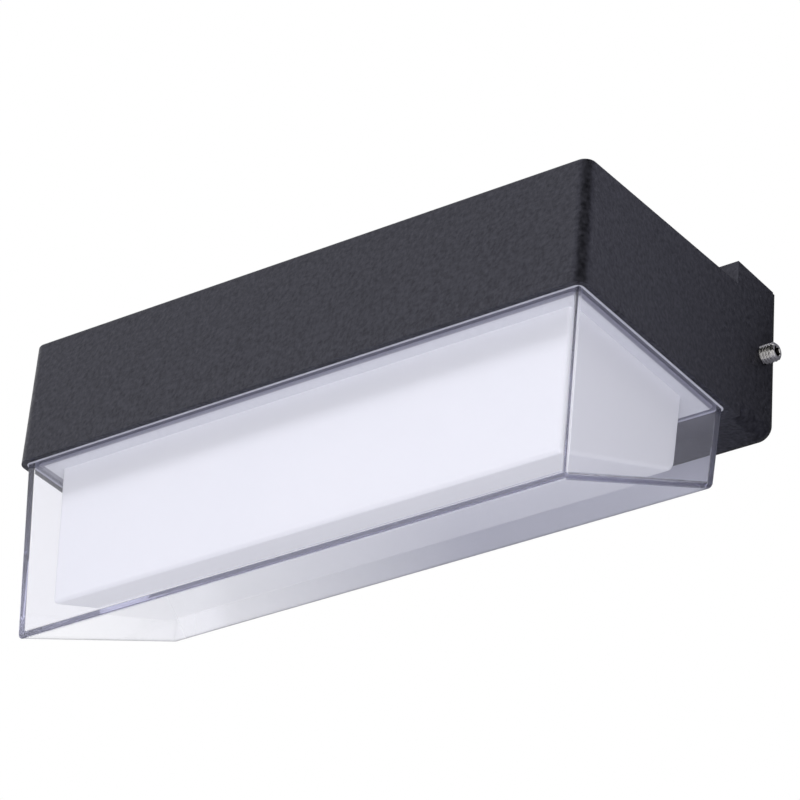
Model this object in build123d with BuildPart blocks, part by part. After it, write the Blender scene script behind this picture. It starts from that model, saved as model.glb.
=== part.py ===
from build123d import *
import math
import os

os.makedirs("parts", exist_ok=True)

# Outdoor wall light: a cast box with a clear wedge-shaped cover under it, hung on a wall bracket.
# Frame: the wall is the plane Y = 0, the light stands out along -Y, +Z is up.
# The origin is the centre of the bracket's back, level with the two set screws.

# Cast body
body_length = 210.0
head_depth = 81.4
box_depth = 21.1
head_height_front = 42.9
head_height_rear = 46.0
head_draft = 0.5
head_corner_radius = 4.0
head_edge_radius = 0.8
wall_thickness = 2.8
top_thickness = 3.0
rim_drop = 28.4
lip_thickness = 1.8
ledge_height = 6.0
ledge_thickness = 2.5
box_rise = 1.6
box_height = 52.0
box_wall = 3.2
box_edge_radius = 4.5
boss_radius = 4.5
boss_overlap = 1.5
small_boss_radius = 3.8
small_boss_height = 3.0
screw_tip_gap = 0.4

# Clear cover and its seal
seal_gap = 0.9
seal_pad = 1.0
seal_clearance = 0.05
cover_wall = 1.7
cover_front_height = 60.7
cover_rear_height = 27.0
cover_draft = 2.8
cover_edge_radius = 0.5
cover_end_radius = 1.6
cover_inner_radius = 0.5

# White tray
tray_end_gap = 0.6
tray_front_gap = 0.4
tray_rear_gap = 0.3
tray_sheet = 1.2
tray_corner_radius = 2.0
tray_screw_edge = 5.2
tray_screw_side = 6.8
tray_screw_depth = 8.0

# Opal diffuser
diffuser_end_inset = 10.5
diffuser_front_inset = 10.8
diffuser_rear_inset = 14.1
diffuser_wall = 1.8
diffuser_front_height = 47.3
diffuser_rear_height = 25.2
diffuser_draft = 2.1
diffuser_edge_radius = 1.2
diffuser_inner_radius = 0.6
diffuser_rear_radius = 4.5
tab_width = 8.0
tab_thickness = 1.2
tab_barb = 0.8
tab_barb_height = 1.3
tab_pitch = 60.0
tab_clearance = 0.3

# LED board
board_end_gap = 13.2
board_width = 36.0
board_thickness = 1.6
led_length = 3.5
led_width = 2.8
led_height = 0.7
led_count = 12
led_pitch = 11.5
led_row_pitch = 18.0
board_screw_inset = 6.0
board_screw_side = 3.0
connector_length = 8.0
connector_width = 8.0
connector_height = 4.0
connector_inset = 2.0

# LED driver
driver_length = 120.0
driver_width = 36.0
driver_height = 24.0
driver_ear = 10.0
driver_ear_width = 18.0
driver_ear_thickness = 2.0
driver_edge_radius = 1.5

# Wiring
lead_radius = 1.0
lead_clearance = 0.3
lead_pitch = 6.0
led_lead_pitch = 3.6
led_lead_gap = 6.0
led_lead_bend = 12.0
led_lead_tight_bend = 4.5
mains_lead_run = 14.0
mains_lead_side = 4.0
mains_lead_bend = 9.0
mains_lead_tight_bend = 4.0
earth_lead_bend = 4.0
lead_end_depth = 3.0
driver_lead_drop = 6.0

# Terminal block, grommet and earth point in the rear box
terminal_run = 34.0
terminal_length = 17.0
terminal_depth = 11.0
terminal_height = 20.0
terminal_ear = 6.0
terminal_ear_width = 12.0
terminal_ear_depth = 3.0
clamp_screw_radius = 1.5
clamp_screw_length = 2.5
clamp_screw_sink = 1.0
clamp_screw_pitch = 9.0
clamp_slot_width = 0.5
clamp_slot_depth = 1.0
entry_offset = 6.0
grommet_flange = 1.5
grommet_width = 8.0
grommet_from_flange = 8.5
earth_point_offset = 6.0
earth_point_z = -14.0
lug_thickness = 0.8
lug_radius = 4.0
lug_tongue = 6.0
lug_barrel_radius = 1.6
lug_barrel_length = 5.0

# Wall bracket and fixings
gasket_thickness = 1.2
gasket_margin = 0.2
bracket_sheet = 2.0
bracket_height = 30.0
bracket_flange = 13.5
bracket_bend_radius = 1.0
hanger_width = 4.0
hanger_clearance = 0.3
slot_pitch = 100.0
slot_width = 5.0
slot_length = 14.0
cable_hole_radius = 10.0
bush_flange = 2.0
bush_flange_radius = 12.0
bush_bore_radius = 4.5
bush_clearance = 0.1
set_screw_radius = 3.0
set_screw_pitch = 1.0
set_screw_thread_depth = 0.55
set_screw_crest = 0.1
set_screw_length = 12.0
set_screw_point_gap = 0.3
set_screw_from_wall = 5.6
set_screw_boss_radius = 6.0
set_screw_boss_length = 7.5
socket_width = 3.0
socket_depth = 3.5
point_radius = 1.5
running_clearance = 0.05

# Small screws: thread radius, head radius and head height
m3_radius = 1.5
m3_head_radius = 2.8
m3_head_height = 1.9
m4_radius = 2.0
m4_head_radius = 3.6
m4_head_height = 2.4
screw_hole_clearance = 0.2

# Places that follow from the sizes above
rim_z = -rim_drop
front_y = -(head_depth + box_depth)
head_rear_y = -box_depth
head_mid_y = (front_y + head_rear_y) / 2
half_length = body_length / 2
ledge_z = rim_z + ledge_height
ledge_top_z = ledge_z + ledge_thickness
cavity_top_z = rim_z + head_height_front - top_thickness
partition_y = head_rear_y + wall_thickness
box_bottom_z = rim_z + box_rise
box_top_z = box_bottom_z + box_height
box_mid_z = (box_bottom_z + box_top_z) / 2
screw_axis_y = -set_screw_from_wall
tip_x = half_length - set_screw_boss_length
flange_face_x = tip_x - set_screw_point_gap

cover_inset = lip_thickness + seal_gap
cover_length = body_length - 2 * cover_inset
cover_depth = head_depth - 2 * cover_inset
cover_inner_length = cover_length - 2 * cover_wall
cover_inner_depth = cover_depth - 2 * cover_wall
collar_height = ledge_height - seal_pad

tray_length = cover_inner_length - 2 * tray_end_gap
tray_depth = cover_inner_depth - tray_front_gap - tray_rear_gap
tray_mid_y = head_mid_y + (tray_front_gap - tray_rear_gap) / 2
tray_top_z = rim_z + tray_sheet

diffuser_length = body_length - 2 * diffuser_end_inset
diffuser_depth = head_depth - diffuser_front_inset - diffuser_rear_inset
diffuser_front_y = front_y + diffuser_front_inset
diffuser_rear_y = head_rear_y - diffuser_rear_inset
diffuser_mid_y = (diffuser_front_y + diffuser_rear_y) / 2
diffuser_inner_length = diffuser_length - 2 * diffuser_wall
diffuser_inner_depth = diffuser_depth - 2 * diffuser_wall
tab_places = [(step * tab_pitch, end) for step in (-1, 0, 1) for end in (-1, 1)]

tray_screw_x = diffuser_inner_length / 2 - tray_screw_edge
tray_screw_y = diffuser_inner_depth / 2 - tray_screw_side
tray_screw_places = [
    (side * tray_screw_x, diffuser_mid_y + end * tray_screw_y) for side in (-1, 1) for end in (-1, 1)
]
tray_hole_depth = tray_screw_depth + screw_tip_gap
ledge_width = half_length - tray_screw_x - boss_radius + boss_overlap

board_length = diffuser_inner_length - 2 * board_end_gap
board_bottom_z = rim_z - board_thickness
board_screw_x = board_length / 2 - board_screw_inset
board_screw_y = board_width / 2 - board_screw_side
board_screw_places = [
    (side * board_screw_x, diffuser_mid_y + end * board_screw_y) for side in (-1, 1) for end in (-1, 1)
]
connector_end_x = board_length / 2 - connector_inset
connector_mid_z = board_bottom_z - connector_height / 2

mains_lead_x = grommet_from_flange + bracket_sheet - flange_face_x
terminal_start_x = mains_lead_x + terminal_run
terminal_mid_x = terminal_start_x + terminal_length / 2
terminal_back_y = partition_y + terminal_depth
terminal_screw_z = terminal_height / 2 + terminal_ear / 2
terminal_screw_places = [(terminal_mid_x, terminal_screw_z), (terminal_mid_x, -terminal_screw_z)]
entry_y = partition_y + entry_offset
earth_point_x = mains_lead_x + earth_point_offset

driver_start_x = mains_lead_x + mains_lead_run
driver_end_x = driver_start_x + driver_length
driver_top_z = cavity_top_z - small_boss_height
driver_lead_z = driver_top_z - driver_height + driver_lead_drop
driver_screw_places = [
    (driver_start_x - driver_ear / 2, head_mid_y),
    (driver_end_x + driver_ear / 2, head_mid_y),
]
led_lead_x = board_length / 2 + led_lead_gap
led_lead_places = [diffuser_mid_y + step * led_lead_pitch / 2 for step in (-1, 1)]
mains_lead_y = head_mid_y + driver_width / 2 - mains_lead_side
mains_lead_places = [0, lead_pitch]


def slope_plane(front, rear):
    """Plane that rises from a front edge to a rear edge, each given as (y, z); it faces up."""
    direction = Vector(0, rear[0] - front[0], rear[1] - front[1]).normalized()
    return Plane((0, front[0], front[1]), x_dir=(1, 0, 0), z_dir=Vector(1, 0, 0).cross(direction))


def drafted(height, draft):
    """Distance that a drafted wall moves inwards over a height."""
    return height * math.tan(math.radians(draft))


def box_corners(margin):
    """Corners of the rear box as (x, z), moved in by a margin; its ends keep on the draft of the head."""
    low_x = half_length - drafted(box_rise, head_draft) - margin
    high_x = half_length - drafted(box_rise + box_height, head_draft) - margin
    low_z = box_bottom_z + margin
    high_z = box_top_z - margin
    return [(-low_x, low_z), (low_x, low_z), (high_x, high_z), (-high_x, high_z)]


def drafted_tub(length, depth, middle_y, rise, drop, draft, floor, edge_radius, rear_radius, end_radius):
    """Full tub that narrows downwards to a sloping floor; its length and depth are those at the rim."""
    growth = 2 * drafted(rise, draft)
    with BuildPart() as tub:
        with BuildSketch(Plane((0, middle_y, rim_z + rise))):
            Rectangle(length + growth, depth + growth)
        extrude(amount=-(rise + drop), taper=draft)
        split(bisect_by=floor, keep=Keep.TOP)
        if rear_radius > edge_radius:
            fillet(tub.faces().sort_by(Axis.Z)[0].edges().sort_by(Axis.Y)[-1], rear_radius)
        if end_radius > edge_radius:
            floor_edges = tub.faces().sort_by(Axis.Z)[0].edges().sort_by(Axis.X)
            fillet([floor_edges[0], floor_edges[-1]], end_radius)
        top_edges = tub.faces().sort_by(Axis.Z)[-1].edges()
        round_seams = tub.faces().filter_by(GeomType.CYLINDER).edges().filter_by(GeomType.LINE)
        fillet(tub.edges() - top_edges - round_seams, edge_radius)
    return tub.part


# Cast housing: the head, the rear box and the bosses are one casting
top_plane = slope_plane(
    (front_y, rim_z + head_height_front), (head_rear_y, rim_z + head_height_rear)
)
with BuildPart() as housing:
    with BuildSketch(Plane((0, head_mid_y + wall_thickness / 2, rim_z))) as head_base:
        Rectangle(body_length, head_depth + wall_thickness)
        fillet(head_base.vertices().group_by(Axis.Y)[0], head_corner_radius)
    extrude(amount=head_height_rear + top_thickness, taper=head_draft)
    split(bisect_by=top_plane, keep=Keep.BOTTOM)
    top_edges = housing.faces().sort_by(Axis.Z)[-1].edges()
    fillet(top_edges.sort_by(Axis.Y)[:-1], head_edge_radius)

    with BuildSketch(Plane.XZ.offset(gasket_thickness)) as box_base:
        Polygon(*box_corners(0), align=None)
        fillet(box_base.vertices().group_by(Axis.Y)[0], box_edge_radius)
    extrude(amount=box_depth - gasket_thickness)

    with BuildSketch(Plane.XZ.offset(gasket_thickness)):
        with Locations((0, box_mid_z)):
            Rectangle(body_length - 2 * box_wall, box_height - 2 * box_wall)
    extrude(amount=-partition_y - gasket_thickness, mode=Mode.SUBTRACT)

    with BuildSketch(Plane((0, head_mid_y, rim_z))):
        RectangleRounded(
            body_length - 2 * lip_thickness,
            head_depth - 2 * lip_thickness,
            head_corner_radius - lip_thickness,
        )
    extrude(amount=ledge_height, mode=Mode.SUBTRACT)
    with BuildSketch(Plane((0, head_mid_y, ledge_z))):
        RectangleRounded(
            body_length - 2 * ledge_width, head_depth - 2 * ledge_width, tray_corner_radius
        )
    extrude(amount=ledge_thickness, mode=Mode.SUBTRACT)

    with BuildSketch(Plane((0, head_mid_y + wall_thickness / 2, ledge_top_z))):
        Rectangle(body_length - 2 * wall_thickness, head_depth - wall_thickness)
    extrude(amount=cavity_top_z - ledge_top_z, mode=Mode.SUBTRACT)

    hanger_z = bracket_height / 2 + hanger_clearance
    with BuildSketch(Plane((0, (partition_y - gasket_thickness) / 2, hanger_z))):
        with GridLocations(2 * flange_face_x - bracket_sheet, 0, 2, 1):
            Rectangle(hanger_width, -partition_y - gasket_thickness)
    extrude(amount=box_top_z - box_wall - hanger_z)

    for side in (-1, 1):
        with BuildSketch(Plane((side * tip_x, screw_axis_y, 0), z_dir=(side, 0, 0))):
            Circle(set_screw_boss_radius)
        extrude(amount=set_screw_boss_length - box_wall / 2)
        split(bisect_by=Plane.XZ.offset(gasket_thickness), keep=Keep.TOP)
        with BuildSketch(Plane((side * half_length, screw_axis_y, 0), z_dir=(-side, 0, 0))):
            Circle(set_screw_radius + running_clearance)
        extrude(amount=set_screw_boss_length, mode=Mode.SUBTRACT)

    with BuildSketch(Plane.XY.offset(tray_top_z)):
        with Locations(*tray_screw_places):
            Circle(boss_radius)
    extrude(amount=tray_hole_depth + wall_thickness)
    with BuildSketch(Plane.XY.offset(tray_top_z)):
        with Locations(*tray_screw_places):
            Circle(m4_radius + running_clearance)
    extrude(amount=tray_hole_depth, mode=Mode.SUBTRACT)

    with BuildSketch(Plane.XY.offset(driver_top_z)):
        with Locations(*driver_screw_places):
            Circle(small_boss_radius)
    extrude(amount=small_boss_height)
    with BuildSketch(Plane.XY.offset(driver_top_z)):
        with Locations(*driver_screw_places):
            Circle(m3_radius + running_clearance)
    extrude(amount=small_boss_height, mode=Mode.SUBTRACT)

    rear_points = [(x, z, m3_radius, small_boss_radius) for x, z in terminal_screw_places]
    rear_points.append((earth_point_x, earth_point_z, m4_radius, boss_radius))
    for x, z, thread_radius, outer_radius in rear_points:
        with BuildSketch(Plane((x, head_rear_y, z), x_dir=(1, 0, 0), z_dir=(0, -1, 0))):
            Circle(outer_radius)
        extrude(amount=small_boss_height)
        with BuildSketch(Plane((x, partition_y, z), x_dir=(1, 0, 0), z_dir=(0, -1, 0))):
            Circle(thread_radius + running_clearance)
        extrude(amount=wall_thickness + small_boss_height - screw_tip_gap, mode=Mode.SUBTRACT)

    with BuildSketch(Plane((mains_lead_x, partition_y, lead_pitch / 2), x_dir=(1, 0, 0), z_dir=(0, -1, 0))):
        SlotOverall(grommet_width + lead_pitch, grommet_width, rotation=90)
    extrude(amount=wall_thickness, mode=Mode.SUBTRACT)
housing.part.label = "housing"
export_step(housing.part, "parts/housing.step")

# Silicone seal: a pad over the cover's top edge and a thin skin round its collar
with BuildPart() as cover_seal:
    skin_inset = lip_thickness + seal_clearance
    with BuildSketch(Plane((0, head_mid_y, rim_z))):
        RectangleRounded(
            body_length - 2 * skin_inset, head_depth - 2 * skin_inset, head_corner_radius - skin_inset
        )
    extrude(amount=ledge_height)
    collar_room = 2 * (drafted(collar_height, cover_draft) + seal_clearance)
    with BuildSketch(Plane((0, head_mid_y, rim_z + collar_height))):
        RectangleRounded(cover_length + collar_room, cover_depth + collar_room, cover_edge_radius)
    extrude(amount=-collar_height, taper=cover_draft, mode=Mode.SUBTRACT)
    with BuildSketch(Plane((0, head_mid_y, rim_z + collar_height))):
        RectangleRounded(cover_inner_length, cover_inner_depth, cover_inner_radius)
    extrude(amount=seal_pad, mode=Mode.SUBTRACT)
cover_seal.part.label = "cover_seal"
export_step(cover_seal.part, "parts/cover_seal.step")

# Clear cover: a thick wedge-shaped tub, with a collar that stands in the lip
cover_front_y = front_y + cover_inset + drafted(cover_front_height, cover_draft)
cover_rear_y = head_rear_y - cover_inset - drafted(cover_rear_height, cover_draft)
cover_slope = slope_plane(
    (cover_front_y, rim_z - cover_front_height), (cover_rear_y, rim_z - cover_rear_height)
)
cover_drop = cover_front_height + cover_wall
cover_hollow = drafted_tub(
    cover_inner_length, cover_inner_depth, head_mid_y, ledge_height, cover_drop,
    cover_draft, cover_slope.offset(cover_wall), cover_inner_radius, cover_inner_radius, cover_inner_radius,
)
with BuildPart() as clear_cover:
    add(
        drafted_tub(
            cover_length, cover_depth, head_mid_y, collar_height, cover_drop,
            cover_draft, cover_slope, cover_edge_radius, cover_edge_radius, cover_end_radius,
        )
    )
    add(cover_hollow, mode=Mode.SUBTRACT)
clear_cover.part.label = "clear_cover"
export_step(clear_cover.part, "parts/clear_cover.step")

# White tray: a folded sheet that closes the head and carries the board and the diffuser
with BuildPart() as reflector_tray:
    with BuildSketch(Plane((0, tray_mid_y, rim_z))):
        RectangleRounded(tray_length, tray_depth, tray_corner_radius)
    extrude(amount=ledge_height)
    with BuildSketch(Plane((0, tray_mid_y, tray_top_z))):
        RectangleRounded(
            tray_length - 2 * tray_sheet, tray_depth - 2 * tray_sheet, tray_corner_radius - tray_sheet
        )
    extrude(amount=ledge_height, mode=Mode.SUBTRACT)
    with BuildSketch(Plane.XY.offset(rim_z)):
        with Locations(*tray_screw_places):
            Circle(m4_radius + screw_hole_clearance)
        with Locations(*board_screw_places):
            Circle(m3_radius + running_clearance)
        with Locations((led_lead_x, diffuser_mid_y)):
            RectangleRounded(
                led_lead_pitch + 2 * lead_radius,
                led_lead_pitch + 4 * lead_radius + 2 * lead_clearance,
                lead_radius,
            )
        for x, end in tab_places:
            slot_y = diffuser_mid_y + end * (diffuser_depth - diffuser_wall - tab_barb) / 2
            with Locations((x, slot_y)):
                Rectangle(tab_width + 2 * tab_clearance, tab_thickness + tab_barb + 2 * tab_clearance)
    extrude(amount=tray_sheet, mode=Mode.SUBTRACT)
reflector_tray.part.label = "reflector_tray"
export_step(reflector_tray.part, "parts/reflector_tray.step")

# Opal diffuser: a thin wedge-shaped tub, held by barbed tabs through the tray
diffuser_slope = slope_plane(
    (
        diffuser_front_y + drafted(diffuser_front_height, diffuser_draft),
        rim_z - diffuser_front_height,
    ),
    (
        diffuser_rear_y - drafted(diffuser_rear_height, diffuser_draft),
        rim_z - diffuser_rear_height,
    ),
)
diffuser_drop = diffuser_front_height + diffuser_wall
diffuser_hollow = drafted_tub(
    diffuser_inner_length, diffuser_inner_depth, diffuser_mid_y, 0, diffuser_drop,
    diffuser_draft, diffuser_slope.offset(diffuser_wall), diffuser_inner_radius,
    diffuser_rear_radius - diffuser_wall, diffuser_inner_radius,
)
with BuildPart() as opal_diffuser:
    add(
        drafted_tub(
            diffuser_length, diffuser_depth, diffuser_mid_y, 0, diffuser_drop,
            diffuser_draft, diffuser_slope, diffuser_edge_radius, diffuser_rear_radius, diffuser_edge_radius,
        )
    )
    add(diffuser_hollow, mode=Mode.SUBTRACT)
    for x, end in tab_places:
        stem_y = diffuser_mid_y + end * (diffuser_depth - diffuser_wall) / 2
        with BuildSketch(Plane((x, stem_y, rim_z))):
            Rectangle(tab_width, tab_thickness)
        extrude(amount=tray_sheet + tab_clearance + tab_barb_height)
        with BuildSketch(Plane((x, stem_y - end * tab_barb / 2, tray_top_z + tab_clearance))):
            Rectangle(tab_width, tab_thickness + tab_barb)
        extrude(amount=tab_barb_height)
opal_diffuser.part.label = "opal_diffuser"
export_step(opal_diffuser.part, "parts/opal_diffuser.step")

# LED board, its LEDs and its lead connector, under the tray
with BuildPart() as led_board:
    with BuildSketch(Plane((0, diffuser_mid_y, rim_z))):
        Rectangle(board_length, board_width)
    extrude(amount=-board_thickness)
    with BuildSketch(Plane.XY.offset(rim_z)):
        with Locations(*board_screw_places):
            Circle(m3_radius + screw_hole_clearance)
    extrude(amount=-board_thickness, mode=Mode.SUBTRACT)
led_board.part.label = "led_board"
export_step(led_board.part, "parts/led_board.step")

with BuildPart() as led_chips:
    with BuildSketch(Plane((0, diffuser_mid_y, board_bottom_z))):
        with GridLocations(led_pitch, led_row_pitch, led_count, 2):
            Rectangle(led_length, led_width)
    extrude(amount=-led_height)
led_chips.part.label = "led_chips"
export_step(led_chips.part, "parts/led_chips.step")

with BuildPart() as led_connector:
    with BuildSketch(Plane((connector_end_x - connector_length / 2, diffuser_mid_y, board_bottom_z))):
        Rectangle(connector_length, connector_width)
    extrude(amount=-connector_height)
    for lead_y in led_lead_places:
        with BuildSketch(Plane((connector_end_x, lead_y, connector_mid_z), z_dir=(-1, 0, 0))):
            Circle(lead_radius + lead_clearance)
        extrude(amount=lead_end_depth, mode=Mode.SUBTRACT)
led_connector.part.label = "led_connector"
export_step(led_connector.part, "parts/led_connector.step")


def pan_head_screws(places, seat_z, thread_radius, head_radius, head_height, shank):
    """Pan head screws that point up, with their heads under a seat and a cross recess in them."""
    recess_length = 2 * thread_radius
    recess_width = thread_radius / 2
    recess_depth = head_height / 2
    with BuildPart() as screws:
        for x, y in places:
            with BuildSketch(Plane((x, y, seat_z))):
                Circle(head_radius)
            extrude(amount=-head_height)
            with BuildSketch(Plane((x, y, seat_z))):
                Circle(thread_radius)
            extrude(amount=shank)
            with BuildSketch(Plane((x, y, seat_z - head_height))):
                Rectangle(recess_length, recess_width)
                Rectangle(recess_width, recess_length)
            extrude(amount=recess_depth, mode=Mode.SUBTRACT)
    return screws.part


board_screws = pan_head_screws(
    board_screw_places, board_bottom_z, m3_radius, m3_head_radius, m3_head_height,
    board_thickness + tray_sheet + m3_radius,
)
board_screws.label = "board_screws"
export_step(board_screws, "parts/board_screws.step")

tray_screws = pan_head_screws(
    tray_screw_places, rim_z, m4_radius, m4_head_radius, m4_head_height,
    tray_sheet + tray_screw_depth,
)
tray_screws.label = "tray_screws"
export_step(tray_screws, "parts/tray_screws.step")

driver_screws = pan_head_screws(
    driver_screw_places, driver_top_z - driver_ear_thickness, m3_radius, m3_head_radius, m3_head_height,
    driver_ear_thickness + small_boss_height - screw_tip_gap,
)
driver_screws.label = "driver_screws"
export_step(driver_screws, "parts/driver_screws.step")

# LED driver: a closed case with an ear at each end, hung under the top of the head
with BuildPart() as led_driver:
    with BuildSketch(Plane((driver_start_x + driver_length / 2, head_mid_y, driver_top_z))):
        RectangleRounded(driver_length, driver_width, driver_edge_radius)
    extrude(amount=-driver_height)
    for x, y in driver_screw_places:
        with BuildSketch(Plane((x, y, driver_top_z))):
            Rectangle(driver_ear, driver_ear_width)
            Circle(m3_radius + screw_hole_clearance, mode=Mode.SUBTRACT)
        extrude(amount=-driver_ear_thickness)
    for lead_y in led_lead_places:
        with BuildSketch(Plane((driver_end_x, lead_y, driver_lead_z), z_dir=(-1, 0, 0))):
            Circle(lead_radius + lead_clearance)
        extrude(amount=lead_end_depth, mode=Mode.SUBTRACT)
    for lead_z in mains_lead_places:
        with BuildSketch(Plane((driver_start_x, mains_lead_y, lead_z), z_dir=(1, 0, 0))):
            Circle(lead_radius + lead_clearance)
        extrude(amount=lead_end_depth, mode=Mode.SUBTRACT)
led_driver.part.label = "led_driver"
export_step(led_driver.part, "parts/led_driver.step")


def insulated_lead(points, bends):
    """A round lead along straight runs that are joined by arcs."""
    with BuildPart() as lead:
        with BuildLine() as route:
            FilletPolyline(*points, radius=bends)
        with BuildSketch(Plane(route.line @ 0, z_dir=route.line % 0)):
            Circle(lead_radius)
        sweep(path=route.line)
    return lead.part


# Leads from the driver to the board, through the tray
for name, lead_y in zip(("led_lead_black", "led_lead_red"), led_lead_places):
    led_lead = insulated_lead(
        [
            (driver_end_x - lead_end_depth, lead_y, driver_lead_z),
            (led_lead_x, lead_y, driver_lead_z),
            (led_lead_x, lead_y, connector_mid_z),
            (connector_end_x - lead_end_depth, lead_y, connector_mid_z),
        ],
        [led_lead_bend, led_lead_tight_bend],
    )
    led_lead.label = name
    export_step(led_lead, f"parts/{name}.step")

# Leads from the driver through the partition to the terminal block
for name, lead_z in zip(("mains_lead_blue", "mains_lead_brown"), mains_lead_places):
    mains_lead = insulated_lead(
        [
            (driver_start_x + lead_end_depth, mains_lead_y, lead_z),
            (mains_lead_x, mains_lead_y, lead_z),
            (mains_lead_x, entry_y, lead_z),
            (terminal_start_x + lead_end_depth, entry_y, lead_z),
        ],
        [mains_lead_bend, mains_lead_tight_bend],
    )
    mains_lead.label = name
    export_step(mains_lead, f"parts/{name}.step")

# Earth lead, from the lug on the casting to the third pole of the block
barrel_start_x = earth_point_x + lug_tongue
lug_end_x = barrel_start_x + lug_barrel_length
lug_barrel_y = partition_y + lug_barrel_radius
earth_bend_x = (lug_end_x + terminal_start_x) / 2
earth_lead = insulated_lead(
    [
        (lug_end_x - lead_end_depth, lug_barrel_y, earth_point_z),
        (earth_bend_x - lead_pitch / 2, lug_barrel_y, earth_point_z),
        (earth_bend_x + lead_pitch / 2, entry_y, -lead_pitch),
        (terminal_start_x + lead_end_depth, entry_y, -lead_pitch),
    ],
    [earth_lead_bend, earth_lead_bend],
)
earth_lead.label = "earth_lead"
export_step(earth_lead, "parts/earth_lead.step")

with BuildPart() as earth_lug:
    with BuildSketch(Plane((earth_point_x, partition_y, earth_point_z), x_dir=(1, 0, 0), z_dir=(0, 1, 0))):
        Circle(lug_radius)
        with Locations((lug_tongue / 2, 0)):
            Rectangle(lug_tongue, 2 * lug_barrel_radius)
        Circle(m4_radius + screw_hole_clearance, mode=Mode.SUBTRACT)
    extrude(amount=lug_thickness)
    with BuildSketch(Plane((barrel_start_x, lug_barrel_y, earth_point_z), z_dir=(1, 0, 0))):
        Circle(lug_barrel_radius)
    extrude(amount=lug_barrel_length)
    with BuildSketch(Plane((lug_end_x, lug_barrel_y, earth_point_z), z_dir=(-1, 0, 0))):
        Circle(lead_radius + running_clearance)
    extrude(amount=lead_end_depth, mode=Mode.SUBTRACT)
earth_lug.part.label = "earth_lug"
export_step(earth_lug.part, "parts/earth_lug.step")


def rear_screws(places, seat_y, thread_radius, head_radius, head_height, shank):
    """Pan head screws that point forwards, with their heads behind a seat and a cross recess in them."""
    recess_length = 2 * thread_radius
    recess_width = thread_radius / 2
    recess_depth = head_height / 2
    with BuildPart() as screws:
        for x, z in places:
            with BuildSketch(Plane((x, seat_y, z), x_dir=(1, 0, 0), z_dir=(0, 1, 0))):
                Circle(head_radius)
            extrude(amount=head_height)
            with BuildSketch(Plane((x, seat_y, z), x_dir=(1, 0, 0), z_dir=(0, -1, 0))):
                Circle(thread_radius)
            extrude(amount=shank)
            with BuildSketch(Plane((x, seat_y + head_height, z), x_dir=(1, 0, 0), z_dir=(0, -1, 0))):
                Rectangle(recess_length, recess_width)
                Rectangle(recess_width, recess_length)
            extrude(amount=recess_depth, mode=Mode.SUBTRACT)
    return screws.part


earth_screw = rear_screws(
    [(earth_point_x, earth_point_z)], partition_y + lug_thickness, m4_radius, m4_head_radius, m4_head_height,
    lug_thickness + wall_thickness + small_boss_height - 2 * screw_tip_gap,
)
earth_screw.label = "earth_screw"
export_step(earth_screw, "parts/earth_screw.step")

block_screws = rear_screws(
    terminal_screw_places,
    partition_y + terminal_ear_depth, m3_radius, m3_head_radius, m3_head_height,
    terminal_ear_depth + wall_thickness + small_boss_height - 2 * screw_tip_gap,
)
block_screws.label = "block_screws"
export_step(block_screws, "parts/block_screws.step")

# Terminal block: three poles side by side, with a fixing ear above and below
pole_places = [-lead_pitch, 0, lead_pitch]
clamp_places = [
    (terminal_mid_x + side * clamp_screw_pitch / 2, pole_z) for pole_z in pole_places for side in (-1, 1)
]
rear_view = Plane((0, terminal_back_y, 0), x_dir=(1, 0, 0), z_dir=(0, -1, 0))
with BuildPart() as terminal_block:
    with BuildSketch(rear_view):
        with Locations((terminal_mid_x, 0)):
            Rectangle(terminal_length, terminal_height)
    extrude(amount=terminal_depth)
    ear_view = Plane((0, partition_y + terminal_ear_depth, 0), x_dir=(1, 0, 0), z_dir=(0, -1, 0))
    with BuildSketch(ear_view):
        with Locations((terminal_mid_x, 0)):
            Rectangle(terminal_ear_width, terminal_height + 2 * terminal_ear)
        with Locations(*terminal_screw_places):
            Circle(m3_radius + screw_hole_clearance, mode=Mode.SUBTRACT)
    extrude(amount=terminal_ear_depth)
    for pole_z in pole_places:
        with BuildSketch(Plane((terminal_start_x, entry_y, pole_z), z_dir=(1, 0, 0))):
            Circle(lead_radius + lead_clearance)
        extrude(amount=terminal_length, mode=Mode.SUBTRACT)
    with BuildSketch(rear_view):
        with Locations(*clamp_places):
            Circle(clamp_screw_radius + running_clearance)
    extrude(amount=clamp_screw_sink + clamp_screw_length, mode=Mode.SUBTRACT)
terminal_block.part.label = "terminal_block"
export_step(terminal_block.part, "parts/terminal_block.step")

with BuildPart() as clamp_screws:
    with BuildSketch(rear_view.offset(clamp_screw_sink)):
        with Locations(*clamp_places):
            Circle(clamp_screw_radius)
    extrude(amount=clamp_screw_length)
    with BuildSketch(rear_view.offset(clamp_screw_sink)):
        with Locations(*clamp_places):
            Rectangle(2 * clamp_screw_radius, clamp_slot_width)
    extrude(amount=clamp_slot_depth, mode=Mode.SUBTRACT)
clamp_screws.part.label = "clamp_screws"
export_step(clamp_screws.part, "parts/clamp_screws.step")

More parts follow.
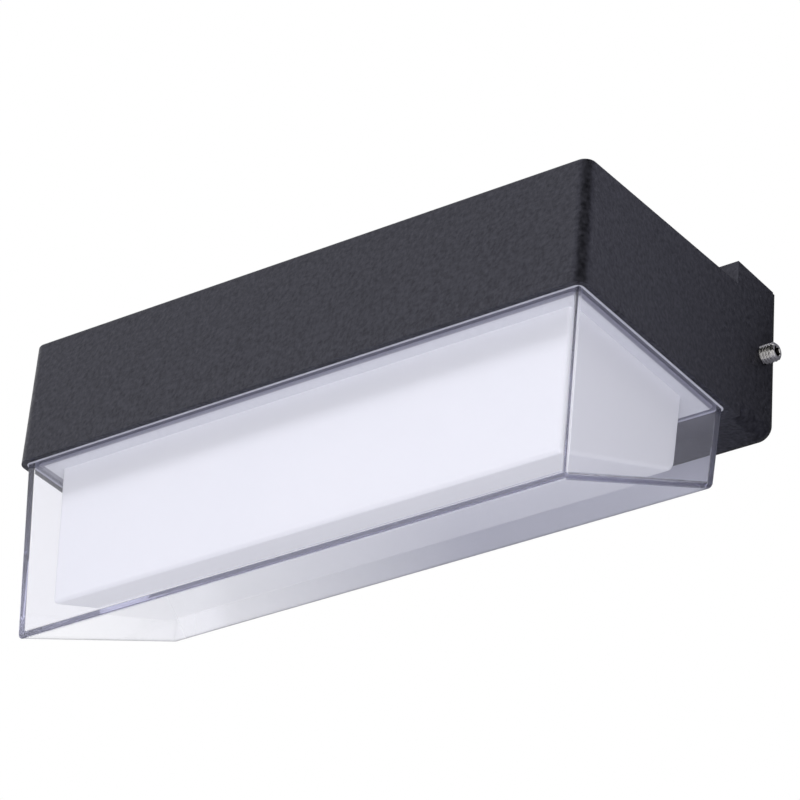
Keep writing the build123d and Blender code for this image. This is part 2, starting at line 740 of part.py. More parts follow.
# Rubber grommet for the two leads, in the partition
grommet_length = grommet_width + lead_pitch
grommet_view = Plane(
    (mains_lead_x, partition_y + grommet_flange, lead_pitch / 2), x_dir=(1, 0, 0), z_dir=(0, -1, 0)
)
with BuildPart() as lead_grommet:
    with BuildSketch(grommet_view):
        SlotOverall(
            grommet_length + 2 * grommet_flange, grommet_width + 2 * grommet_flange, rotation=90
        )
    extrude(amount=grommet_flange)
    with BuildSketch(grommet_view.offset(grommet_flange)):
        SlotOverall(
            grommet_length - 2 * bush_clearance, grommet_width - 2 * bush_clearance, rotation=90
        )
    extrude(amount=wall_thickness)
    with BuildSketch(grommet_view.offset(grommet_flange + wall_thickness)):
        SlotOverall(
            grommet_length + 2 * grommet_flange, grommet_width + 2 * grommet_flange, rotation=90
        )
    extrude(amount=grommet_flange)
    with BuildSketch(grommet_view):
        with GridLocations(0, lead_pitch, 1, 2):
            Circle(lead_radius + running_clearance)
    extrude(amount=wall_thickness + 2 * grommet_flange, mode=Mode.SUBTRACT)
lead_grommet.part.label = "lead_grommet"
export_step(lead_grommet.part, "parts/lead_grommet.step")

# Foam gasket between the rear box and the wall
with BuildPart() as wall_gasket:
    with BuildSketch(Plane.XZ) as gasket_base:
        Polygon(*box_corners(gasket_margin), align=None)
        fillet(gasket_base.vertices().group_by(Axis.Y)[0], box_edge_radius - gasket_margin)
        with Locations((0, box_mid_z)):
            Rectangle(
                body_length - 2 * box_wall + 2 * gasket_margin,
                box_height - 2 * box_wall + 2 * gasket_margin,
                mode=Mode.SUBTRACT,
            )
    extrude(amount=gasket_thickness)
wall_gasket.part.label = "wall_gasket"
export_step(wall_gasket.part, "parts/wall_gasket.step")

# Wall bracket: a folded strap, flat on the wall, with a flange for each set screw
with BuildPart() as wall_bracket:
    with BuildSketch(Plane.XY.offset(-bracket_height / 2)):
        with BuildLine():
            Polyline(
                (-flange_face_x, -bracket_flange),
                (-flange_face_x, 0),
                (flange_face_x, 0),
                (flange_face_x, -bracket_flange),
                (flange_face_x - bracket_sheet, -bracket_flange),
                (flange_face_x - bracket_sheet, -bracket_sheet),
                (bracket_sheet - flange_face_x, -bracket_sheet),
                (bracket_sheet - flange_face_x, -bracket_flange),
                close=True,
            )
        make_face()
    extrude(amount=bracket_height)
    outer_bends = wall_bracket.edges().filter_by(Axis.Z).group_by(Axis.Y)[-1]
    fillet(outer_bends, bracket_bend_radius + bracket_sheet)
    inner_bends = wall_bracket.edges().filter_by(Axis.Z).filter_by_position(
        Axis.Y, -bracket_sheet - running_clearance, -bracket_sheet + running_clearance
    )
    fillet(inner_bends, bracket_bend_radius)
    with BuildSketch(Plane.XZ):
        with GridLocations(slot_pitch, 0, 2, 1):
            SlotOverall(slot_length, slot_width)
        Circle(cable_hole_radius)
    extrude(amount=bracket_sheet, mode=Mode.SUBTRACT)
wall_bracket.part.label = "wall_bracket"
export_step(wall_bracket.part, "parts/wall_bracket.step")

# Rubber bush for the supply cable, in the bracket's middle hole
with BuildPart() as cable_bush:
    with BuildSketch(Plane.XZ):
        Circle(cable_hole_radius - bush_clearance)
    extrude(amount=bracket_sheet)
    with BuildSketch(Plane.XZ.offset(bracket_sheet)):
        Circle(bush_flange_radius)
    extrude(amount=bush_flange)
    with BuildSketch(Plane.XZ):
        Circle(bush_bore_radius)
    extrude(amount=bracket_sheet + bush_flange, mode=Mode.SUBTRACT)
cable_bush.part.label = "cable_bush"
export_step(cable_bush.part, "parts/cable_bush.step")

# Set screws: socket set screws with a cup point, from the box's ends onto the bracket's flanges
thread_count = math.ceil(set_screw_length / set_screw_pitch) - 1
root_radius = set_screw_radius - set_screw_thread_depth
for side, name in ((1, "set_screw_right"), (-1, "set_screw_left")):
    with BuildPart() as set_screw:
        tip_plane = Plane((side * tip_x, screw_axis_y, 0), x_dir=(side, 0, 0), z_dir=(0, -1, 0))
        with BuildSketch(tip_plane):
            with BuildLine():
                outline = [(point_radius / 2, 0), (0, point_radius), (0, root_radius)]
                for turn in range(thread_count):
                    ridge = (turn + 0.5) * set_screw_pitch
                    outline.append((ridge - set_screw_crest / 2, set_screw_radius))
                    outline.append((ridge + set_screw_crest / 2, set_screw_radius))
                    outline.append((ridge + set_screw_pitch / 2, root_radius))
                outline.append((set_screw_length, root_radius))
                outline.append((set_screw_length, 0))
                Polyline(*outline, close=True)
            make_face()
        revolve(axis=Axis((side * tip_x, screw_axis_y, 0), (1, 0, 0)))
        socket_x = side * (tip_x + set_screw_length)
        with BuildSketch(Plane((socket_x, screw_axis_y, 0), z_dir=(-side, 0, 0))):
            RegularPolygon(socket_width / 2, 6, major_radius=False)
        extrude(amount=socket_depth, mode=Mode.SUBTRACT)
    set_screw.part.label = name
    export_step(set_screw.part, f"parts/{name}.step")
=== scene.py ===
import math

import bmesh
import bpy
from mathutils import Matrix, Vector


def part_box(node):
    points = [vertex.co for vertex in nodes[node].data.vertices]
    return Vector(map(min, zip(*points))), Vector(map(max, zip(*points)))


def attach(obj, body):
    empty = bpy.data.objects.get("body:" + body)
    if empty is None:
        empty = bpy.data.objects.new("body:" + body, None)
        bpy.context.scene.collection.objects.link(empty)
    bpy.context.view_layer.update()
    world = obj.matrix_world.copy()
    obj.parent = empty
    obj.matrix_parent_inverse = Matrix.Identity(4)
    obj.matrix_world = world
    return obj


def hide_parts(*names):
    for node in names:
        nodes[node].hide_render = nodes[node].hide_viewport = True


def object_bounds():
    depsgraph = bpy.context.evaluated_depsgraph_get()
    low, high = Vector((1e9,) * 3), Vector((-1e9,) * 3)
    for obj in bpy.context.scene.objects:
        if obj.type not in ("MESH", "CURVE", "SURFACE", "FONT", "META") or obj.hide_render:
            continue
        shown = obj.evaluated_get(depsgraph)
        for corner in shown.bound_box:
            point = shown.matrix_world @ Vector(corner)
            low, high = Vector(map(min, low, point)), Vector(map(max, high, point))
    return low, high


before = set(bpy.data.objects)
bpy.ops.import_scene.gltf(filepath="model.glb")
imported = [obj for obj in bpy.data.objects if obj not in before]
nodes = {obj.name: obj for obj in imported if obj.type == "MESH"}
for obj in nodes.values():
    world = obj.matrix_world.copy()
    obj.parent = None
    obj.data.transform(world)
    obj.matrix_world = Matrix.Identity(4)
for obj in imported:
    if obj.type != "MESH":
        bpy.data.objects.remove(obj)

# Outdoor wall light: a black cast box with a clear wedge-shaped cover and a white diffuser under it.
# The frame is in metres, with the wall at Y = 0 and +Z up. Sizes here are written in millimetres.
MM = 0.001
cad_low, cad_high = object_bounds()

# Camera: from the front right, well below the light. Angles are in degrees
camera_azimuth = 38.392
camera_elevation = -31.473
camera_roll = 4.939
camera_distance = 1217.10
camera_aim = (6.405, -55.470, -13.398)
camera_lens = 180.09
camera_sensor_width = 36.0

# Studio floor, and the dark screen on an arc from straight in front towards the right
floor_drop = 1600.0
floor_radius = 9000.0
floor_sides = 64
screen_first_angle = 12.0
screen_last_angle = 110.0
screen_foot = 0.0
screen_top = 4500.0
screen_radius = 2200.0
screen_strips = 12

# Studio wall: its opening behind the light's box, where it fades out on the left as painted light, and its
# grey band of painted shadow on the right
wall_reach = 600.0
wall_gap = 0.4
opening_half_width = 103.0
opening_foot = -25.0
opening_top = 23.0
light_fade_start_x = 0.0
light_fade_end_x = -170.0
shadow_band_start_x = 80.0
shadow_band_end_x = 180.0
shadow_band_darkest = 0.22

# Studio light
key_place = (-500.0, -1400.0, 1200.0)
key_size = 450.0
key_power = 12.5
fill_place = (850.0, -1050.0, -1350.0)
fill_size = 1000.0
fill_power = 20.0
ambient_strength = 0.66
ray_bounces = 48
haze_bounces = 3

# Set screw
thread_pitch = 1.0
thread_depth = 0.55
crest_share = 0.12
flank_share = 0.76
thread_sides = 72
rings_per_turn = 10
end_chamfer = 0.7
socket_width = 3.0
socket_depth = 3.5
socket_countersink = 0.3
socket_drill_point = 0.75
point_radius = 1.5
point_cup = 0.75
merge_distance = 0.0005
crease_angle = 58.0

# Sockets of a colour mix: its factor, its two colours and the colour that comes out
FACTOR, FIRST, SECOND, MIXED = 0, 6, 7, 2
# Most of a noise's values lie between these two
NOISE_LOW, NOISE_HIGH = 0.3, 0.7


def linear(hex_colour):
    """Linear RGBA of an sRGB colour written as six hex digits."""
    channels = []
    for start in (0, 2, 4):
        value = int(hex_colour[start:start + 2], 16) / 255
        channels.append(value / 12.92 if value <= 0.04045 else ((value + 0.055) / 1.055) ** 2.4)
    return (*channels, 1.0)


def per_size(millimetres):
    """Scale of a pattern whose features are this far apart."""
    return 1 / (millimetres * MM)


def add_node(tree, kind, inputs=None, **settings):
    """Add a node with its settings; inputs are plain values or the sockets that feed them."""
    made = tree.nodes.new(kind)
    for name, value in settings.items():
        setattr(made, name, value)
    for name, value in (inputs or {}).items():
        if isinstance(value, bpy.types.NodeSocket):
            tree.links.new(value, made.inputs[name])
        else:
            made.inputs[name].default_value = value
    return made


def new_material(name):
    """Empty material; returns it with its node tree and the place of a point on the piece, in metres."""
    material = bpy.data.materials.new(name)
    material.use_nodes = True
    tree = material.node_tree
    tree.nodes.clear()
    place = add_node(tree, "ShaderNodeTexCoord").outputs["Object"]
    return material, tree, place


def finish_nodes(material, *names):
    """Give a material to nodes of the frame."""
    for name in names:
        for slot in nodes[name].material_slots:
            slot.material = material


# Materials


def powder_coated_casting():
    """Die-cast aluminium, powder coated charcoal black: a sandy grain that breaks up a broad, dull sheen."""
    material, tree, place = new_material("powder_coated_cast_aluminium")
    # A fine powder's grain is smaller than this: it is drawn as coarse as it needs to show
    grain = add_node(tree, "ShaderNodeTexNoise", {"Vector": place, "Scale": per_size(1.1), "Detail": 4.0})
    pits = add_node(tree, "ShaderNodeTexNoise", {"Vector": place, "Scale": per_size(1.5), "Detail": 3.0})
    fleck = add_node(tree, "ShaderNodeMapRange", {
        "Value": pits.outputs["Fac"], "From Min": NOISE_LOW, "From Max": NOISE_HIGH,
        "To Min": 0.0, "To Max": 1.0,
    })
    shade = add_node(tree, "ShaderNodeMix", {
        FACTOR: fleck.outputs[0], FIRST: linear("070709"), SECOND: linear("29292e"),
    }, data_type="RGBA")
    dullness = add_node(tree, "ShaderNodeMapRange", {
        "Value": grain.outputs["Fac"], "From Min": NOISE_LOW, "From Max": NOISE_HIGH,
        "To Min": 0.34, "To Max": 0.5,
    })
    relief = add_node(tree, "ShaderNodeBump", {
        "Height": grain.outputs["Fac"], "Strength": 1.0, "Distance": 0.14 * MM,
    })
    surface = add_node(tree, "ShaderNodeBsdfPrincipled", {
        "Base Color": shade.outputs[MIXED], "Roughness": dullness.outputs[0], "Normal": relief.outputs[0],
        "Specular IOR Level": 0.51, "Specular Tint": linear("e0e0ff"),
    })
    add_node(tree, "ShaderNodeOutputMaterial", {"Surface": surface.outputs[0]})
    return material


def clear_polycarbonate():
    """Injection-moulded clear polycarbonate: polished, with a lavender tint and faint haze at its edges."""
    material, tree, place = new_material("moulded_clear_polycarbonate")
    ripple = add_node(tree, "ShaderNodeTexNoise", {"Vector": place, "Scale": per_size(12), "Detail": 1.0})
    relief = add_node(tree, "ShaderNodeBump", {
        "Height": ripple.outputs["Fac"], "Strength": 0.5, "Distance": 0.005 * MM,
    })
    polished = add_node(tree, "ShaderNodeBsdfPrincipled", {
        "Base Color": linear("fbfbfe"), "Roughness": 0.0, "IOR": 1.55, "Transmission Weight": 1.0,
        "Normal": relief.outputs[0],
    })
    # Light from the lamps reaches what is inside without being bent
    ray = add_node(tree, "ShaderNodeLightPath")
    unbent = add_node(tree, "ShaderNodeMath", {
        0: ray.outputs["Is Shadow Ray"], 1: ray.outputs["Is Diffuse Ray"],
    }, operation="MAXIMUM")
    straight = add_node(tree, "ShaderNodeBsdfTransparent", {"Color": linear("f8f8fa")})
    surface = add_node(tree, "ShaderNodeMixShader", {
        0: unbent.outputs[0], 1: polished.outputs[0], 2: straight.outputs[0],
    })
    # The haze lets light out that would stay trapped in the walls and leave their edges black
    tint = add_node(tree, "ShaderNodeVolumeAbsorption", {"Color": linear("9c9ce2"), "Density": 9.0})
    haze = add_node(tree, "ShaderNodeVolumeScatter", {"Color": linear("f2f2fc"), "Density": 6.0})
    plastic = add_node(tree, "ShaderNodeAddShader", {0: tint.outputs[0], 1: haze.outputs[0]})
    add_node(tree, "ShaderNodeOutputMaterial", {
        "Surface": surface.outputs[0], "Volume": plastic.outputs[0],
    })
    return material


def cured_silicone():
    """Translucent silicone bead, cured in place: milky, satin, with small dents along its length."""
    material, tree, place = new_material("cured_translucent_silicone")
    dents = add_node(tree, "ShaderNodeTexNoise", {"Vector": place, "Scale": per_size(2.5), "Detail": 2.0})
    shade = add_node(tree, "ShaderNodeMix", {
        FACTOR: dents.outputs["Fac"], FIRST: linear("9c9daa"), SECOND: linear("babbc8"),
    }, data_type="RGBA")
    relief = add_node(tree, "ShaderNodeBump", {
        "Height": dents.outputs["Fac"], "Strength": 0.3, "Distance": 0.1 * MM,
    })
    surface = add_node(tree, "ShaderNodeBsdfPrincipled", {
        "Base Color": shade.outputs[MIXED], "Roughness": 0.38, "IOR": 1.41, "Normal": relief.outputs[0],
    })
    add_node(tree, "ShaderNodeOutputMaterial", {"Surface": surface.outputs[0]})
    return material


def white_stove_enamel():
    """Folded steel sheet, stove enamelled white: satin, with a faint peel, and painted shade in grey on its
    folded flanges and along its ends and front.
    """
    material, tree, place = new_material("white_stove_enamelled_steel")
    peel = add_node(tree, "ShaderNodeTexNoise", {"Vector": place, "Scale": per_size(1.8), "Detail": 2.0})
    enamel = add_node(tree, "ShaderNodeMix", {
        FACTOR: peel.outputs["Fac"], FIRST: linear("c8c9d0"), SECOND: linear("d6d7dd"),
    }, data_type="RGBA")
    # Painted shade: faces that don't look down are grey, standing in for the shade in the gap under the
    # housing's rim
    facing = add_node(tree, "ShaderNodeSeparateXYZ", {
        "Vector": add_node(tree, "ShaderNodeTexCoord").outputs["Normal"],
    })
    flange_painted_shade = add_node(tree, "ShaderNodeMapRange", {
        "Value": facing.outputs["Z"], "From Min": -0.8, "From Max": -0.4, "To Min": 0.0, "To Max": 1.0,
    })
    # The painted shade also covers a narrow strip along the sheet's ends and front
    painted_shade_width = 1.5 * MM
    painted_shade_fade_end = 1.9 * MM
    low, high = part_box("reflector_tray")
    spot = add_node(tree, "ShaderNodeSeparateXYZ", {"Vector": place})
    sideways = add_node(tree, "ShaderNodeMath", {0: spot.outputs["X"]}, operation="ABSOLUTE")
    from_end = add_node(tree, "ShaderNodeMath", {0: high[0], 1: sideways.outputs[0]}, operation="SUBTRACT")
    from_front = add_node(tree, "ShaderNodeMath", {0: spot.outputs["Y"], 1: low[1]}, operation="SUBTRACT")
    from_edge = add_node(tree, "ShaderNodeMath", {
        0: from_end.outputs[0], 1: from_front.outputs[0],
    }, operation="MINIMUM")
    edge_painted_shade = add_node(tree, "ShaderNodeMapRange", {
        "Value": from_edge.outputs[0], "From Min": painted_shade_width, "From Max": painted_shade_fade_end,
        "To Min": 1.0, "To Max": 0.0,
    })
    painted_shade_mask = add_node(tree, "ShaderNodeMath", {
        0: flange_painted_shade.outputs[0], 1: edge_painted_shade.outputs[0],
    }, operation="MAXIMUM")
    # Grey painted shade mixed over the enamel
    coat = add_node(tree, "ShaderNodeMix", {
        FACTOR: painted_shade_mask.outputs[0], FIRST: enamel.outputs[MIXED], SECOND: linear("848492"),
    }, data_type="RGBA")
    relief = add_node(tree, "ShaderNodeBump", {
        "Height": peel.outputs["Fac"], "Strength": 0.2, "Distance": 0.04 * MM,
    })
    surface = add_node(tree, "ShaderNodeBsdfPrincipled", {
        "Base Color": coat.outputs[MIXED], "Roughness": 0.36, "Normal": relief.outputs[0],
    })
    add_node(tree, "ShaderNodeOutputMaterial", {"Surface": surface.outputs[0]})
    return material


def opal_acrylic():
    """Moulded opal acrylic: milk white with a cool, faintly cloudy cast and a satin skin."""
    material, tree, place = new_material("moulded_opal_acrylic")
    cloud = add_node(tree, "ShaderNodeTexNoise", {"Vector": place, "Scale": per_size(40), "Detail": 2.0})
    shade = add_node(tree, "ShaderNodeMix", {
        FACTOR: cloud.outputs["Fac"], FIRST: linear("ecedf1"), SECOND: linear("f1f1f4"),
    }, data_type="RGBA")
    # The grain of a satin mould is finer than this: it is drawn as coarse as it needs to show
    skin = add_node(tree, "ShaderNodeTexNoise", {"Vector": place, "Scale": per_size(1.2), "Detail": 2.0})
    gloss = add_node(tree, "ShaderNodeMapRange", {
        "Value": skin.outputs["Fac"], "From Min": NOISE_LOW, "From Max": NOISE_HIGH,
        "To Min": 0.34, "To Max": 0.42,
    })
    surface = add_node(tree, "ShaderNodeBsdfPrincipled", {
        "Base Color": shade.outputs[MIXED], "Roughness": gloss.outputs[0], "IOR": 1.49,
    })
    add_node(tree, "ShaderNodeOutputMaterial", {"Surface": surface.outputs[0]})
    return material


def moulded_plastic(name, dark, light, roughness, grain_size):
    """Moulded or extruded plastic or rubber: nearly even colour, with a fine grain from its mould or die."""
    material, tree, place = new_material(name)
    # The real grain is finer than the sizes below: it is drawn as coarse as it needs to show
    grain = add_node(tree, "ShaderNodeTexNoise", {
        "Vector": place, "Scale": per_size(grain_size), "Detail": 2.0,
    })
    shade = add_node(tree, "ShaderNodeMix", {
        FACTOR: grain.outputs["Fac"], FIRST: linear(dark), SECOND: linear(light),
    }, data_type="RGBA")
    relief = add_node(tree, "ShaderNodeBump", {
        "Height": grain.outputs["Fac"], "Strength": 0.25, "Distance": 0.03 * MM,
    })
    surface = add_node(tree, "ShaderNodeBsdfPrincipled", {
        "Base Color": shade.outputs[MIXED], "Roughness": roughness, "Normal": relief.outputs[0],
    })
    add_node(tree, "ShaderNodeOutputMaterial", {"Surface": surface.outputs[0]})
    return material


def plated_metal(name, dark, light, smooth, rough, cloud_size):
    """Plated or machined metal: soft reflections whose sharpness wanders over the surface."""
    material, tree, place = new_material(name)
    cloud = add_node(tree, "ShaderNodeTexNoise", {
        "Vector": place, "Scale": per_size(cloud_size), "Detail": 3.0,
    })
    shade = add_node(tree, "ShaderNodeMix", {
        FACTOR: cloud.outputs["Fac"], FIRST: linear(dark), SECOND: linear(light),
    }, data_type="RGBA")
    dullness = add_node(tree, "ShaderNodeMapRange", {
        "Value": cloud.outputs["Fac"], "From Min": NOISE_LOW, "From Max": NOISE_HIGH,
        "To Min": smooth, "To Max": rough,
    })
    surface = add_node(tree, "ShaderNodeBsdfPrincipled", {
        "Base Color": shade.outputs[MIXED], "Metallic": 1.0, "Roughness": dullness.outputs[0],
    })
    add_node(tree, "ShaderNodeOutputMaterial", {"Surface": surface.outputs[0]})
    return material


def galvanised_sheet():
    """Hot-dip galvanised steel sheet: dull zinc with a pattern of flat crystals, each of its own grey."""
    material, tree, place = new_material("galvanised_steel_sheet")
    spangle = add_node(tree, "ShaderNodeTexVoronoi", {"Vector": place, "Scale": per_size(7)})
    crystal = add_node(tree, "ShaderNodeSeparateColor", {"Color": spangle.outputs["Color"]})
    shade = add_node(tree, "ShaderNodeMix", {
        FACTOR: crystal.outputs[0], FIRST: linear("9ea2a6"), SECOND: linear("c6c9cc"),
    }, data_type="RGBA")
    dullness = add_node(tree, "ShaderNodeMapRange", {
        "Value": crystal.outputs[1], "To Min": 0.32, "To Max": 0.5,
    })
    surface = add_node(tree, "ShaderNodeBsdfPrincipled", {
        "Base Color": shade.outputs[MIXED], "Metallic": 1.0, "Roughness": dullness.outputs[0],
    })
    add_node(tree, "ShaderNodeOutputMaterial", {"Surface": surface.outputs[0]})
    return material


def closed_cell_foam():
    """Black closed-cell rubber foam: dull, with small open cells where it was cut."""
    material, tree, place = new_material("closed_cell_rubber_foam")
    cells = add_node(tree, "ShaderNodeTexVoronoi", {"Vector": place, "Scale": per_size(0.8)})
    shade = add_node(tree, "ShaderNodeMix", {
        FACTOR: cells.outputs["Distance"], FIRST: linear("0f0f11"), SECOND: linear("303136"),
    }, data_type="RGBA")
    relief = add_node(tree, "ShaderNodeBump", {
        "Height": cells.outputs["Distance"], "Strength": 0.6, "Distance": 0.2 * MM,
    })
    surface = add_node(tree, "ShaderNodeBsdfPrincipled", {
        "Base Color": shade.outputs[MIXED], "Roughness": 0.85, "Normal": relief.outputs[0],
    })
    add_node(tree, "ShaderNodeOutputMaterial", {"Surface": surface.outputs[0]})
    return material


# Plastics and rubbers: name, darker and lighter colour, roughness, grain size and the pieces made of them
plastics = (
    ("white_solder_mask_laminate", "d9dad6", "e9eae6", 0.4, 1.5, ("led_board",)),
    ("phosphor_filled_silicone", "c9a52a", "e0c452", 0.35, 0.4, ("led_chips",)),
    ("moulded_white_nylon", "dcdcd6", "ecebe5", 0.45, 0.8, ("led_connector", "terminal_block")),
    ("moulded_white_polycarbonate", "d6d8da", "e6e7e8", 0.4, 1.0, ("led_driver",)),
    ("black_pvc_insulation", "101012", "1d1d20", 0.42, 1.5, ("led_lead_black",)),
    ("red_pvc_insulation", "9c1a16", "b3241c", 0.42, 1.5, ("led_lead_red",)),
    ("blue_pvc_insulation", "1f4f9e", "2a62b8", 0.42, 1.5, ("mains_lead_blue",)),
    ("brown_pvc_insulation", "4d2c18", "623a22", 0.42, 1.5, ("mains_lead_brown",)),
    ("green_pvc_insulation", "3c7d2c", "7fa22f", 0.42, 1.5, ("earth_lead",)),
    ("moulded_black_rubber", "121213", "232426", 0.68, 0.6, ("lead_grommet", "cable_bush")),
)
finish_nodes(powder_coated_casting(), "housing")
finish_nodes(clear_polycarbonate(), "clear_cover")
finish_nodes(cured_silicone(), "cover_seal")
finish_nodes(white_stove_enamel(), "reflector_tray")
finish_nodes(opal_acrylic(), "opal_diffuser")
finish_nodes(closed_cell_foam(), "wall_gasket")
finish_nodes(galvanised_sheet(), "wall_bracket")
for *look, pieces in plastics:
    finish_nodes(moulded_plastic(*look), *pieces)
finish_nodes(
    plated_metal("bright_zinc_plated_steel", "a9aeb4", "cfd2d4", 0.24, 0.42, 2.5),
    "board_screws", "tray_screws", "driver_screws", "earth_screw", "block_screws", "clamp_screws",
)
finish_nodes(plated_metal("tinned_copper", "bdbab2", "d8d6cf", 0.28, 0.44, 1.5), "earth_lug")
stainless = plated_metal("turned_stainless_steel", "d0cecc", "eae8e6", 0.18, 0.26, 3.0)
# The socket's inside is dark steel: painted shade for the deep hex recess
socket_painted_shade = plated_metal("socket_recess_painted_shade", "2c2a28", "4a4644", 0.35, 0.5, 1.0)


# Set screws: real helical threads, a hex socket and a cup point in place of the frame's plain ridges


def thread_radius(along, angle, crest_radius, length):
    """Radius of the screw at a distance from its outer end and an angle round it."""
    turn = (along / thread_pitch - angle / math.tau) % 1.0
    flank = min(max((abs(turn - 0.5) * 2 - crest_share) / flank_share, 0.0), 1.0)
    threaded = crest_radius - thread_depth * flank
    outer_limit = crest_radius - end_chamfer + along
    point_limit = point_radius + (length - along)
    return min(threaded, outer_limit, point_limit)


def set_screw_piece(node_name):
    """Make one set screw, from its outer end with the socket to its point, ring by ring."""
    low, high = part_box(node_name)
    side = 1 if low.x > 0 else -1
    outer_x = high.x if side > 0 else low.x
    axis_y = (low.y + high.y) / 2
    axis_z = (low.z + high.z) / 2
    crest_radius = (high.z - low.z) / 2 / MM
    length = (high.x - low.x) / MM
    angles = [step * math.tau / thread_sides for step in range(thread_sides)]
    sixth = math.tau / 6
    metals = [stainless, socket_painted_shade]

    def hexagon(angle):
        return socket_width / 2 / math.cos(angle % sixth - sixth / 2)

    socket_mouth = socket_width / 2 / math.cos(sixth / 2)
    rings = [
        [(socket_depth, hexagon(angle)) for angle in angles],
        [(socket_countersink, hexagon(angle)) for angle in angles],
        [(0.0, socket_mouth) for angle in angles],
    ]
    # The thread's rings lean with its helix, so that each crest and root runs along one line of points
    first_thread_ring = len(rings)
    for step in range(round((length / thread_pitch + 1) * rings_per_turn) + 1):
        ring = []
        for angle in angles:
            along = (step / rings_per_turn - 1 + angle / math.tau) * thread_pitch
            along = min(max(along, 0.0), length)
            ring.append((along, thread_radius(along, angle, crest_radius, length)))
        rings.append(ring)
    last_thread_ring = len(rings) - 1
    rings.append([(length, point_radius) for angle in angles])

    shape = bmesh.new()

    def point(along, radius, angle):
        return shape.verts.new((
            outer_x - side * along * MM,
            axis_y + radius * math.cos(angle) * MM,
            axis_z + radius * math.sin(angle) * MM,
        ))

    made = [[point(*spot, angle) for spot, angle in zip(ring, angles)] for ring in rings]

    def beside(ring, step):
        # The last side of a leaning ring meets the ring that starts one turn further on
        if step + 1 < thread_sides:
            return made[ring][step + 1]
        if first_thread_ring <= ring <= last_thread_ring:
            return made[min(ring + rings_per_turn, last_thread_ring)][0]
        return made[ring][0]

    for ring in range(len(made) - 1):
        # The socket's walls take the painted shade
        metal = socket_painted_shade if ring == 0 else stainless
        for step in range(thread_sides):
            corners = (made[ring][step], beside(ring, step), beside(ring + 1, step), made[ring + 1][step])
            face = shape.faces.new(list(dict.fromkeys(corners)))
            face.material_index = metals.index(metal)
    for ring, depth, metal in (
        (made[0], socket_depth + socket_drill_point, socket_painted_shade), (made[-1], length - point_cup, stainless),
    ):
        centre = point(depth, 0.0, 0.0)
        for step in range(thread_sides):
            face = shape.faces.new((ring[step], ring[(step + 1) % thread_sides], centre))
            face.material_index = metals.index(metal)
    bmesh.ops.remove_doubles(shape, verts=shape.verts, dist=merge_distance * MM)
    bmesh.ops.recalc_face_normals(shape, faces=shape.faces)
    mesh = bpy.data.meshes.new(node_name + "_thread")
    shape.to_mesh(mesh)
    shape.free()
    mesh.shade_smooth()
    mesh.set_sharp_from_angle(angle=math.radians(crease_angle))
    for metal in metals:
        mesh.materials.append(metal)
    piece = bpy.data.objects.new(node_name + "_thread", mesh)
    bpy.context.scene.collection.objects.link(piece)
    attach(piece, node_name)
    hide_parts(node_name)


for screw in ("set_screw_right", "set_screw_left"):
    set_screw_piece(screw)


# Studio: a pale floor, a white surround and two soft lamps. A dark screen shows only in reflections,
# and a pale wall shows in reflections and through the clear cover


def studio_paint(name, hex_colour):
    """Matt paint of the studio's floor and screen."""
    material, tree, _ = new_material(name)
    paint = add_node(tree, "ShaderNodeBsdfDiffuse", {"Color": linear(hex_colour)})
    add_node(tree, "ShaderNodeOutputMaterial", {"Surface": paint.outputs[0]})
    return material


def wall_paint():
    """Matt wall paint: pale, with a soft grey band of painted shadow by the light's right end, and fading out
    on the left into the white surround as painted light.
    """
    material, tree, place = new_material("pale_wall_paint")
    across = add_node(tree, "ShaderNodeSeparateXYZ", {"Vector": place}).outputs["X"]
    # Painted light: towards the left the wall gives way to the white surround
    painted_light_fade = add_node(tree, "ShaderNodeMapRange", {
        "Value": across, "From Min": light_fade_start_x * MM, "From Max": light_fade_end_x * MM,
        "To Min": 0.0, "To Max": 1.0,
    })
    # Painted shadow: a grey band by the light's right end
    painted_shadow_band = add_node(tree, "ShaderNodeMapRange", {
        "Value": across, "From Min": shadow_band_start_x * MM, "From Max": shadow_band_end_x * MM,
        "To Min": 0.0, "To Max": 1.0,
    })
    shade = add_node(tree, "ShaderNodeValToRGB", {"Fac": painted_shadow_band.outputs[0]})
    stops = shade.color_ramp.elements
    stops[0].color = linear("d4d5e0")
    stops[1].color = linear("c2c2cc")
    stops.new(shadow_band_darkest).color = linear("707079")
    paint = add_node(tree, "ShaderNodeBsdfDiffuse", {"Color": shade.outputs["Color"]})
    clear = add_node(tree, "ShaderNodeBsdfTransparent")
    painted_light_and_shadow = add_node(tree, "ShaderNodeMixShader", {
        0: painted_light_fade.outputs[0], 1: paint.outputs[0], 2: clear.outputs[0],
    })
    add_node(tree, "ShaderNodeOutputMaterial", {"Surface": painted_light_and_shadow.outputs[0]})
    return material


def stage_panel(name, corners, paint, faces=None):
    """Flat panel of the studio, from its corners in metres."""
    mesh = bpy.data.meshes.new(name)
    mesh.from_pydata(corners, [], faces or [list(range(len(corners)))])
    mesh.materials.append(paint)
    panel = bpy.data.objects.new(name, mesh)
    bpy.context.scene.collection.objects.link(panel)
    return panel


def studio_floor():
    """Round pale floor, well below the light."""
    edge = []
    for step in range(floor_sides):
        angle = step * math.tau / floor_sides
        edge.append((
            floor_radius * MM * math.cos(angle), floor_radius * MM * math.sin(angle), -floor_drop * MM,
        ))
    return stage_panel("studio_floor", edge, studio_paint("studio_floor_paint", "ececee"))


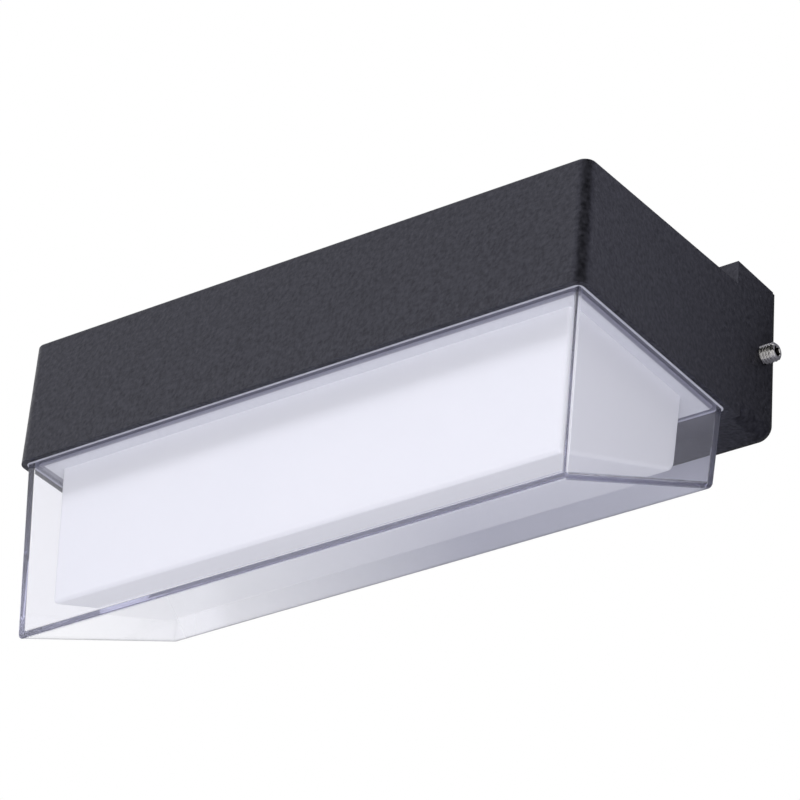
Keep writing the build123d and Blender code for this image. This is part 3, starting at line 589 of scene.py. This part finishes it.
def dark_screen():
    """Upright screen on an arc round the light, in flat strips."""
    paint = studio_paint("dark_screen_paint", "0c0c0d")
    low, high = screen_foot * MM, screen_top * MM
    foot = []
    for step in range(screen_strips + 1):
        share = step / screen_strips
        angle = math.radians(screen_first_angle + (screen_last_angle - screen_first_angle) * share)
        foot.append((screen_radius * MM * math.sin(angle), -screen_radius * MM * math.cos(angle)))
    return [
        stage_panel(f"dark_screen_{step}", [(*a, low), (*b, low), (*b, high), (*a, high)], paint)
        for step, (a, b) in enumerate(zip(foot, foot[1:]))
    ]


def pale_wall():
    """Wall at the light's back, open behind its box so that the bracket's back stays in the light."""

    def rectangle(half_width, low, high):
        places = ((-half_width, low), (half_width, low), (half_width, high), (-half_width, high))
        return [(x * MM, wall_gap * MM, z * MM) for x, z in places]

    corners = rectangle(wall_reach, -wall_reach, wall_reach)
    corners += rectangle(opening_half_width, opening_foot, opening_top)
    sides = [(k, (k + 1) % 4, (k + 1) % 4 + 4, k + 4) for k in range(4)]
    return stage_panel("pale_wall", corners, wall_paint(), sides)


def soft_lamp(name, place, aim, size, power):
    """Square softbox that lights the pale surfaces without a mirror image of itself."""
    lamp = bpy.data.lights.new(name, "AREA")
    lamp.size = size * MM
    lamp.energy = power
    holder = bpy.data.objects.new(name, lamp)
    holder.location = [value * MM for value in place]
    holder.rotation_euler = (aim - holder.location).to_track_quat("-Z", "Y").to_euler()
    holder.visible_glossy = False
    bpy.context.scene.collection.objects.link(holder)


studio_floor()
screens = dark_screen()
for panel in screens:
    panel.visible_transmission = False
for panel in [*screens, pale_wall()]:
    panel.visible_camera = False
    panel.visible_diffuse = False
    panel.visible_shadow = False
middle = (cad_low + cad_high) / 2
soft_lamp("key_softbox", key_place, middle, key_size, key_power)
soft_lamp("fill_softbox", fill_place, middle, fill_size, fill_power)

world = bpy.data.worlds.new("white_surround")
world.use_nodes = True
surround = world.node_tree
surround.nodes.clear()
seen_by = add_node(surround, "ShaderNodeLightPath")
camera_or_glossy = add_node(surround, "ShaderNodeMath", {
    0: seen_by.outputs["Is Camera Ray"], 1: seen_by.outputs["Is Glossy Ray"],
}, operation="MAXIMUM")
in_sight = add_node(surround, "ShaderNodeMath", {
    0: camera_or_glossy.outputs[0], 1: seen_by.outputs["Is Transmission Ray"],
}, operation="MAXIMUM")
ambient = add_node(surround, "ShaderNodeBackground", {
    "Color": linear("ffffff"), "Strength": ambient_strength,
})
white = add_node(surround, "ShaderNodeBackground", {"Color": linear("ffffff"), "Strength": 1.0})
mixed = add_node(surround, "ShaderNodeMixShader", {
    0: in_sight.outputs[0], 1: ambient.outputs[0], 2: white.outputs[0],
})
add_node(surround, "ShaderNodeOutputWorld", {"Surface": mixed.outputs[0]})
scene = bpy.context.scene
scene.world = world
scene.view_settings.view_transform = "Standard"
# Light that runs inside the cover's walls is turned back many times before it leaves them
scene.cycles.max_bounces = ray_bounces
scene.cycles.glossy_bounces = ray_bounces
scene.cycles.transmission_bounces = ray_bounces
scene.cycles.volume_bounces = haze_bounces

# Camera
azimuth, elevation, roll = (math.radians(angle) for angle in (camera_azimuth, camera_elevation, camera_roll))
away = Vector((
    math.sin(azimuth) * math.cos(elevation), -math.cos(azimuth) * math.cos(elevation), math.sin(elevation),
))
level = Vector((math.cos(azimuth), math.sin(azimuth), 0))
upright = away.cross(level)
right = math.cos(roll) * level + math.sin(roll) * upright
up = away.cross(right)
lens = bpy.data.cameras.new("camera")
lens.lens = camera_lens
lens.sensor_width = camera_sensor_width
camera = bpy.data.objects.new("camera", lens)
turn = Matrix((right, up, away)).transposed().to_4x4()
camera.matrix_world = Matrix.Translation(Vector(camera_aim) * MM + away * camera_distance * MM) @ turn
scene.collection.objects.link(camera)
scene.camera = camera
